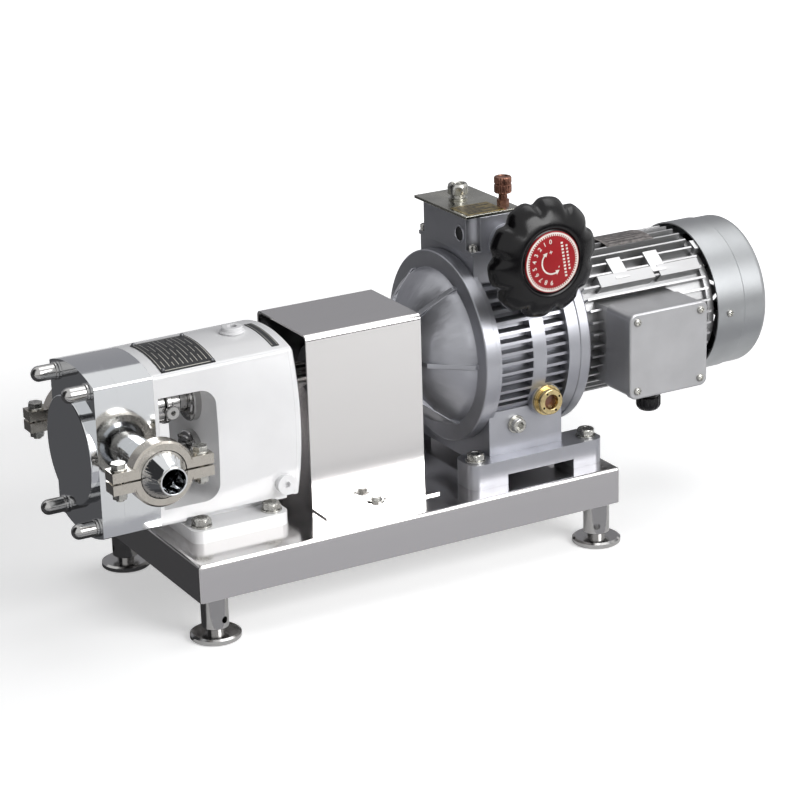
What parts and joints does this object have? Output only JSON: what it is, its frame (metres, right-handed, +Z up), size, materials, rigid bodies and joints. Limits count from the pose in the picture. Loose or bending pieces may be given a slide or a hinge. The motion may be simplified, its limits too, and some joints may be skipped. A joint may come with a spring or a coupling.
{
  "type": "rotary lobe pump set",
  "caption": "Rotary lobe pump on a levelled steel base, driven through a guarded coupling by a finned variable-speed gear with handwheel and a flanged motor.",
  "frame": {"origin": "middle of the footprint of the whole set, on the floor", "axes": "+X along the drive line from pump to motor, +Z up, +Y away from the handwheel side"},
  "size_m": [0.79, 0.2766, 0.385],
  "materials": {
    "base_steel": "polished sheet",
    "foot_steel": "turned",
    "guard_steel": "polished sheet",
    "head_steel": "mirror polished stainless",
    "clamp_steel": "cast stainless",
    "nut_steel": "polished",
    "zinc_steel": "zinc plated",
    "shaft_steel": "ground",
    "seal_steel": "machined",
    "white_enamel": "gloss enamel",
    "silver_casting": "metallic silver-grey over casting",
    "lid_sheet": "smooth sheet",
    "motor_silver": "die cast",
    "cowl_silver": "metallic silver",
    "box_grey": "metallic silver-grey",
    "black_plastic": "glossy phenolic",
    "red_dial": "printed disc",
    "brass": "turned",
    "plug_steel": "plain",
    "glass": "clear",
    "rubber": "moulded",
    "iron": "machined"
  },
  "bodies": {
    "set_frame": {"base_frame": "base_steel", "coupling_guard": "guard_steel", "rotor_case": "head_steel", "front_cover": "head_steel", "near_port_reducer": "head_steel", "far_port_reducer": "head_steel", "near_port_clamp": "clamp_steel", "far_port_clamp": "clamp_steel", "cap_nuts": "nut_steel", "cover_studs": "nut_steel", "clamp_bolts": "zinc_steel", "foot_bolts": "zinc_steel", "guard_screws": "zinc_steel", "cover_screws": "zinc_steel", "drain_plug": "zinc_steel", "ball_bearings": "shaft_steel", "outer_race": "shaft_steel", "stator": "shaft_steel", "shaft_seals": "seal_steel", "pump_housing": "white_enamel", "gearbox_cover": "white_enamel", "variator_bell": "silver_casting", "variator_housing": "silver_casting", "control_box": "silver_casting", "motor_flange": "silver_casting", "control_lid": "lid_sheet", "name_plate": "lid_sheet", "motor_frame": "motor_silver", "motor_end_shield": "motor_silver", "fan_cowl": "cowl_silver", "terminal_box": "box_grey", "terminal_box_lid": "box_grey", "cable_gland": "black_plastic", "sight_ring": "brass", "vent_cap": "brass", "oil_filler": "plug_steel", "pump_filler_plug": "plug_steel", "sight_lens": "glass", "port_gaskets": "rubber"},
    "drive_line": {"drive_shaft": "shaft_steel", "drive_rotor": "shaft_steel", "drive_timing_gear": "shaft_steel", "pump_coupling_hub": "iron", "coupling_spider": "rubber", "drive_coupling_hub": "iron", "variator_output_shaft": "shaft_steel", "rolling_discs": "shaft_steel"},
    "driven_line": {"driven_shaft": "shaft_steel", "driven_rotor": "shaft_steel", "driven_timing_gear": "shaft_steel"},
    "motor_spin": {"motor_rotor": "shaft_steel", "cooling_fan": "black_plastic"},
    "control_wheel": {"handwheel": "black_plastic", "dial_disc": "red_dial", "control_spindle": "shaft_steel"},
    "control_slide": {"control_nut": "brass"},
    "foot_a": {"foot_pump_near": "foot_steel"},
    "foot_b": {"foot_pump_far": "foot_steel"},
    "foot_c": {"foot_motor_near": "foot_steel"},
    "foot_d": {"foot_motor_far": "foot_steel"}
  },
  "joints": [
    {"name": "drive_spin", "type": "hinge", "parent": "set_frame", "child": "drive_line", "pos_m": [-0.25, 0.0052, 0.20775], "axis": [1, 0, 0], "continuous": true},
    {"name": "driven_spin", "type": "hinge", "parent": "set_frame", "child": "driven_line", "pos_m": [-0.25, 0.0052, 0.14855], "axis": [1, 0, 0], "continuous": true},
    {"name": "motor_spin", "type": "hinge", "parent": "set_frame", "child": "motor_spin", "pos_m": [0.24, 0.0052, 0.20775], "axis": [1, 0, 0], "continuous": true},
    {"name": "wheel_turn", "type": "hinge", "parent": "set_frame", "child": "control_wheel", "pos_m": [0.084, -0.1, 0.3235], "axis": [0, -1, 0], "range_deg": [-720, 720]},
    {"name": "nut_slide", "type": "slide", "parent": "set_frame", "child": "control_slide", "axis": [0, 1, 0], "range_m": [-0.012, 0.012]},
    {"name": "foot_pump_near_screw", "type": "slide", "parent": "set_frame", "child": "foot_a", "axis": [0, 0, -1], "range_m": [0, 0.012]},
    {"name": "foot_pump_far_screw", "type": "slide", "parent": "set_frame", "child": "foot_b", "axis": [0, 0, -1], "range_m": [0, 0.012]},
    {"name": "foot_motor_near_screw", "type": "slide", "parent": "set_frame", "child": "foot_c", "axis": [0, 0, -1], "range_m": [0, 0.012]},
    {"name": "foot_motor_far_screw", "type": "slide", "parent": "set_frame", "child": "foot_d", "axis": [0, 0, -1], "range_m": [0, 0.012]}
  ],
  "couplings": [
    {"joint": "driven_spin", "follows": "drive_spin", "ratio": -1},
    {"joint": "motor_spin", "follows": "drive_spin", "ratio": 2.5},
    {"joint": "nut_slide", "follows": "wheel_turn", "m_per_rad": 0.00095}
  ]
}
